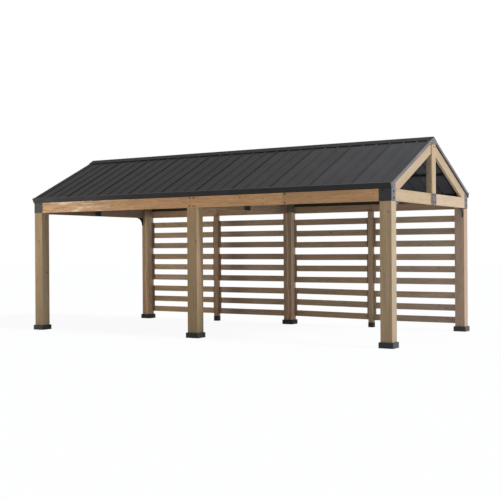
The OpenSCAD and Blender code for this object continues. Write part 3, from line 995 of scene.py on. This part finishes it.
# How the outer corner of an angle's fold is rounded off: the flat's width, and how far in it ends
ANGLE_FLAT, ANGLE_ROUND = 0.001, 0.0026
# Where a corner bracket's gable leg stops, just short of the eave flashing
LEG_END = 1.4621


def build_corner_bracket(node):
    """A folded corner plate: one leg on the beam, one on the gable, its top cut to the rafter."""
    low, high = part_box(node)
    side_x, side_y = math.copysign(1, low.x), math.copysign(1, low.y)
    inner_y, outer_y = inner_outer(low.y, high.y)
    x_in, x_face = inner_outer(low.x, high.x)[0], half_length
    rafter_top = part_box("king_post_middle")[1].z + HOUSED / COS
    leg = drawn_out([(inner_y, low.z), (LEG_END, low.z), (LEG_END, rafter_top - LEG_END * TAN),
                     (inner_y, rafter_top - inner_y * TAN)], 0, x_face, x_face + PLATE_T)
    fold = [(x_face + PLATE_T - FOLD_R + FOLD_R * math.cos(math.radians(a)),
             outer_y - FOLD_R + FOLD_R * math.sin(math.radians(a))) for a in (0, 30, 60, 90)]
    corner = drawn_out([(x_in, outer_y - PLATE_T), (x_face, outer_y - PLATE_T), (x_face, LEG_END),
                        (x_face + PLATE_T, LEG_END), *fold, (x_in, outer_y)], 2, low.z,
                       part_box("front_beam")[1].z)
    tone, warmth, face_tone = (0.95, 0.0, pale_ends) if side_x > 0 else (2.8, 1.2, None)
    piece = Piece(node + "_plate")
    for (points, faces), ease in ((leg, PLATE_EASE), (corner, 0.0)):
        piece.add(mirrored(points, side_x, side_y), faces, ease=ease, tone=tone, warmth=warmth,
                  face_tone=face_tone)
    piece.place(bracket_steel, "bracket_steel", node)


for corner in ("front_left", "front_right", "rear_left", "rear_right"):
    build_corner_bracket("corner_bracket_" + corner)


def middle_post(side_y):
    """The corners of the middle post of one side."""
    return stood(("front" if side_y < 0 else "rear") + "_middle_post")


angles = Piece("middle_post_angles")
low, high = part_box("middle_post_brackets")
tie_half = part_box("tie_beam_middle")[1].x
for side_x in (-1, 1):
    for side_y in (-1, 1):
        post_low, post_high = middle_post(side_y)
        y_face = inner_outer(post_low.y, post_high.y)[0]
        inner = post_high.x if side_x > 0 else -post_low.x
        outer = inner + PLATE_T
        outline = [(tie_half, y_face), (inner, y_face), (inner, high.y), (outer, high.y),
                   (outer, y_face - ANGLE_FLAT), (outer - ANGLE_FLAT, y_face - ANGLE_ROUND),
                   (inner, y_face - PLATE_T), (tie_half, y_face - PLATE_T)]
        points, faces = drawn_out(outline, 2, low.z, high.z)
        angles.add(mirrored(points, side_x, side_y), faces, tone=3.8, warmth=2.6)
angles.place(bracket_steel, "bracket_steel", "middle_post_brackets")

king_plates = Piece("king_post_foot_plates")
low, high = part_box("king_post_plates")
for node in ("king_post_left", "king_post_middle", "king_post_right"):
    king_low, king_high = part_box(node)
    outline = oblong(low.y, hung(low, node).z, high.y, high.z)
    for x in (king_low.x - PLATE_T, king_high.x):
        king_plates.add(*drawn_out(outline, 0, x, x + PLATE_T), ease=PLATE_EASE,
                        face_tone=None if "middle" in node else pale_ends)
king_plates.place(bracket_steel, "bracket_steel", "king_post_plates")

apex = Piece("apex_cover_plates")
low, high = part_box("apex_plates")
outline = peaked(high.y, low.z, ridge_high + CREST / COS)
for side in (-1, 1):
    apex.add(*drawn_out(outline, 0, side * gable_x, side * (gable_x + PLATE_T)), ease=PLATE_EASE,
             face_tone=pale_ends)
apex.place(bracket_steel, "bracket_steel", "apex_plates")

# Gussets: each is cut to a curve between a post and a tie, and stands in by the tie's face. All are
# painted dark with the shade they stand in, and the right ones painted light on their faces that look
# right
GUSSET_W, GUSSET_H, GUSSET_T, GUSSET_EDGE = 0.150, 0.140, 0.014, 0.010
gussets = Piece("curved_corner_gussets")
low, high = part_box("corner_gussets")
curve_r = min(GUSSET_W, GUSSET_H) - GUSSET_EDGE
corner_y, corner_z = high.y - GUSSET_W, high.z - GUSSET_H
curve = [(corner_y + curve_r * math.cos(a), corner_z + curve_r * math.sin(a))
         for a in np.radians(np.linspace(90, 0, 25))]
outline = [(high.y, corner_z), (high.y, high.z), (corner_y, high.z), *curve]
for side_x, word in ((-1, "left"), (1, "right")):
    for side_y in (-1, 1):
        points, faces = drawn_out(outline, 0, high.x - GUSSET_T, high.x)
        points = [hung(p, word) for p in mirrored(points, side_x, side_y)]
        face_tone = None if side_x < 0 else side_light(2.0 if side_y > 0 else 7.0)
        gussets.add(points, faces, ease=PLATE_EASE, tone=0.45, face_tone=face_tone)
gussets.place(bracket_steel, "bracket_steel", "corner_gussets")

bolts = Piece("bolts_and_washers")


def bolt_row(facing, x, ys, zs, **kind):
    """Bolts on one plate, at each of the given places across it and heights."""
    for y in ys:
        for z in zs:
            bolt(bolts, Vector((x, y, z)), facing, **kind)


# Heights of the bolts in each fitting, and where they sit across it
BEAM_BOLT_XS = (-0.035, 0.035, 1.546)
BEAM_ROWS, KING_ROWS, ANGLE_ROWS, GABLE_LEG_ROWS = (
    (2.020, 1.904), (2.020, 1.918), (1.980, 1.910), (2.003, 1.917))
KING_BOLT_YS, ANGLE_BOLT_Y, GABLE_LEG_BOLT_Y = (-0.045, 0.045), 1.387, 1.400
APEX_BOLT_YS, APEX_BOLT_Z = (-0.030, 0.030), 2.690
LARGE, SMALL = {"washer": 0.015, "head": 0.0095}, {"washer": 0.008, "head": 0.0055}
# The bolts of the corner brackets' beam legs, of which the left ones have a much lighter tone
BEAM_LEG_BOLTS = ((2.978, (2.019, 1.892), 1.0), (-3.016, (2.012, 1.905), 13.0))
for side in (-1, 1):
    beam_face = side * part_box("rear_beam")[1].y
    for x in BEAM_BOLT_XS:
        bolt_row(Y * side, x, (beam_face,), BEAM_ROWS)
    for x, rows, tone in BEAM_LEG_BOLTS:
        bolt_row(Y * side, x, (beam_face + side * PLATE_T,), rows, tone=tone)
    post_low, post_high = middle_post(side)
    for end, post_x in ((-1, post_low.x), (1, post_high.x)):
        bolt_row(X * end, post_x + end * PLATE_T, (side * ANGLE_BOLT_Y,), ANGLE_ROWS)
        bolt_row(X * end, end * (half_length + PLATE_T), (side * GABLE_LEG_BOLT_Y,),
                 GABLE_LEG_ROWS, tone=0.6, **LARGE)
for end in (-1, 1):
    for king in ("king_post_right", "king_post_middle"):
        bolt_row(X * end, end * (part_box(king)[1].x + PLATE_T), KING_BOLT_YS, KING_ROWS)
    bolt_row(X * end, end * gable_x, APEX_BOLT_YS, (APEX_BOLT_Z,), **SMALL)
bolts.place(bolt_steel, "bracket_steel")


# ------------ rear screens

SLATS, SLAT_H, SLAT_GAP, PANEL_GAP, SLAT_T, BATTEN_W = 3, 0.098, 0.092, 0.112, 0.015, 0.036
PANEL_H = SLATS * (SLAT_H + SLAT_GAP) - SLAT_GAP
SCREW_DEPTHS = (0.028, 0.070)
# Each screen: the posts at its ends, its tone and warmth, how far each panel's left and right
# ends were fixed above the drawn ones, from the top down, and the painted light and shade along
# its slats, as places along them and shares of tone there
SCREENS = {
    "far_left": ("rear_left_post", "screen_post_left", 1.72, 0.5,
                 ((0.003, 0.003), (0.010, 0.010), (0.012, 0.012)), (-2.94, -2.83), (1.25, 1.0)),
    "near_left": ("screen_post_left", "rear_middle_post", 1.14, -0.4,
                  ((0.006, 0.006), (0.008, 0.008), (0.009, 0.009)),
                  (-1.46, -1.35, -1.17, -1.0, -0.85, -0.65), (1.8, 1.15, 0.70, 0.76, 0.96, 1.07)),
    "near_right": ("rear_middle_post", "screen_post_right", 1.01, 0.0,
                   ((-0.006, -0.003), (-0.005, -0.002), (0.015, 0.000)), (0.35, 0.80), (1.08, 0.96)),
    "far_right": ("screen_post_right", "rear_right_post", 1.02, -1.1,
                  ((-0.002, -0.002), (-0.003, -0.003), (-0.008, -0.007)), (2.25, 2.90), (1.0, 1.13))}

screws = Piece("screen_screws")
for place, (left_post, right_post, level, warmth, lifts, places, shares) in SCREENS.items():
    node = "screen_" + place
    low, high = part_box(node)
    left, right = stood(left_post)[1].x, stood(right_post)[0].x
    slats, battens = Piece("screen_slats_" + place), Piece("screen_battens_" + place)
    slat_y = high.y - SLAT_T
    for panel, lift in enumerate(lifts):
        top = high.z - panel * (PANEL_H + PANEL_GAP)
        for row in range(SLATS):
            z = top - row * (SLAT_H + SLAT_GAP)
            board(slats, (left, slat_y, z - SLAT_H), (right, high.y, z), 0, ease=SLAT_EASE,
                  tone=level * random.uniform(0.9, 1.1),
                  warmth=warmth + random.uniform(-0.4, 0.4), lift=lift, stops=places,
                  drift=fade(0, places, shares))
            for x, up in ((left + BATTEN_W / 2, lift[0]), (right - BATTEN_W / 2, lift[1])):
                for depth in SCREW_DEPTHS:
                    screw(screws, Vector((x, low.y, z + up - depth)), -Y)
        # Battens are painted darker with the shade between post and slats; the one right of a post is
        # painted lighter again with the light that reaches it
        for x, up, share in ((left, lift[0], 1.6), (right - BATTEN_W, lift[1], 1.0)):
            board(battens, (x, low.y, top - PANEL_H), (x + BATTEN_W, slat_y, top), 2,
                  ease=SLAT_EASE, tone=share * random.uniform(0.5, 0.6), warmth=0.3,
                  reach=SLIM_REACH, lift=(up, up))
    slats.place(screen_timber, "screen_timber", node)
    battens.place(screen_timber, "screen_timber")
screws.place(bolt_steel, "bracket_steel")


# ------------ floor, light and camera

FLOOR_REACH = 60.0
WHITE, PALE = (1.0, 1.0, 1.0, 1.0), (0.82, 0.82, 0.82, 1.0)
# How much of the floor's white is its own glow, and how bright the sky is to timber and steel
FLOOR_GLOW, SKY_LEVEL = 0.93, 0.5


def in_view(f):
    """1 where a ray shows something to the viewer, straight, off metal or through glass, else 0."""
    rays = [f.make("ShaderNodeLightPath", output=f"Is {kind} Ray")
            for kind in ("Camera", "Glossy", "Transmission")]
    return f.maths("MAXIMUM", f.maths("MAXIMUM", rays[0], rays[1]), rays[2])


# A white floor that keeps a faint shadow of what stands on it
pale_floor = Finish(bpy.data.materials.new("pale_floor"))
matt = pale_floor.make("ShaderNodeBsdfDiffuse", None, {"Color": PALE})
glow = pale_floor.make("ShaderNodeEmission", None, {"Color": WHITE, "Strength": 1.0})
mixed = pale_floor.make("ShaderNodeMixShader", None, {
    0: in_view(pale_floor) * FLOOR_GLOW, 1: matt, 2: glow})
pale_floor.make("ShaderNodeOutputMaterial", None, {"Surface": mixed})
floor_mesh = bpy.data.meshes.new("floor")
floor_corners = oblong(-FLOOR_REACH, -FLOOR_REACH, FLOOR_REACH, FLOOR_REACH)
floor_mesh.from_pydata([(x, y, 0) for x, y in floor_corners], [], [(0, 1, 2, 3)])
floor_mesh.materials.append(pale_floor.owner)
floor = bpy.data.objects.new("floor", floor_mesh)
bpy.context.scene.collection.objects.link(floor)
floor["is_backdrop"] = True

world = bpy.data.worlds.new("studio")
bpy.context.scene.world = world
sky = Finish(world)
strength = in_view(sky) * (1.0 - SKY_LEVEL) + SKY_LEVEL
background = sky.make("ShaderNodeBackground", None, {"Color": WHITE, "Strength": strength})
sky.make("ShaderNodeOutputWorld", None, {"Surface": background})

key = bpy.data.lights.new("key", "SUN")
key.energy = 3.6
key.color = (0.80, 0.88, 1.0)
key.angle = math.radians(12)
KEY_SHINES = Vector((-0.788, 0.0, -0.616))
key_lamp = bpy.data.objects.new("key", key)
key_lamp.rotation_euler = KEY_SHINES.to_track_quat("-Z", "Y").to_euler()
bpy.context.scene.collection.objects.link(key_lamp)

CAMERA_PLACE = Vector((7.79215, -12.47934, 1.27806))
AZIMUTH, ELEVATION, ROLL = (math.radians(a) for a in (31.711, 0.062, -0.367))
lens = bpy.data.cameras.new("camera")
lens.lens = 67.22
lens.sensor_width = 36.0
camera = bpy.data.objects.new("camera", lens)
camera.matrix_world = Matrix.Translation(CAMERA_PLACE) @ Matrix.Rotation(AZIMUTH, 4, "Z") \
    @ Matrix.Rotation(math.radians(90) - ELEVATION, 4, "X") @ Matrix.Rotation(ROLL, 4, "Z")
bpy.context.scene.collection.objects.link(camera)
bpy.context.scene.camera = camera
bpy.context.scene.view_settings.view_transform = "Standard"

low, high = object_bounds()
